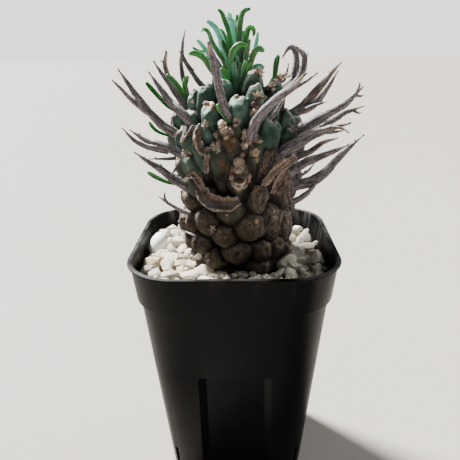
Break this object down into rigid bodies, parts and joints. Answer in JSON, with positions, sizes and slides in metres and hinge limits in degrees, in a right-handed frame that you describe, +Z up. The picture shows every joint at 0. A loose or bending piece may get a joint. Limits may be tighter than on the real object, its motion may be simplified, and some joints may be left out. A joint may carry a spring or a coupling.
{
  "type": "potted euphorbia schoenlandii",
  "caption": "Club-shaped succulent stem with tubercles, dead woody flower stalks and a tuft of narrow leaves, standing in pumice in a deep square nursery pot.",
  "frame": {"origin": "middle of the flat underside of the pot", "axes": "+Z up along the pot and the stem, -Y towards the viewer's side, +X to the viewer's right"},
  "size_m": [0.099, 0.1004, 0.2171],
  "materials": {
    "pot": "black moulded plastic, satin, faintly dusty and scratched",
    "potting_mix": "dark brown bark and peat mix",
    "pumice": "pale porous pumice grains, cream to grey",
    "pebble": "smooth bluish white pebble",
    "stem": "living stem, corky grey-brown below and glaucous green above, with grey woody stalks",
    "leaf": "fresh green leaf with a thin waxy bloom"
  },
  "bodies": {
    "root": {"pot": "pot", "potting_mix": "potting_mix", "pumice_gravel": "pumice", "white_pebble": "pebble", "stem": "stem", "leaf_tuft": "leaf"}
  },
  "joints": []
}
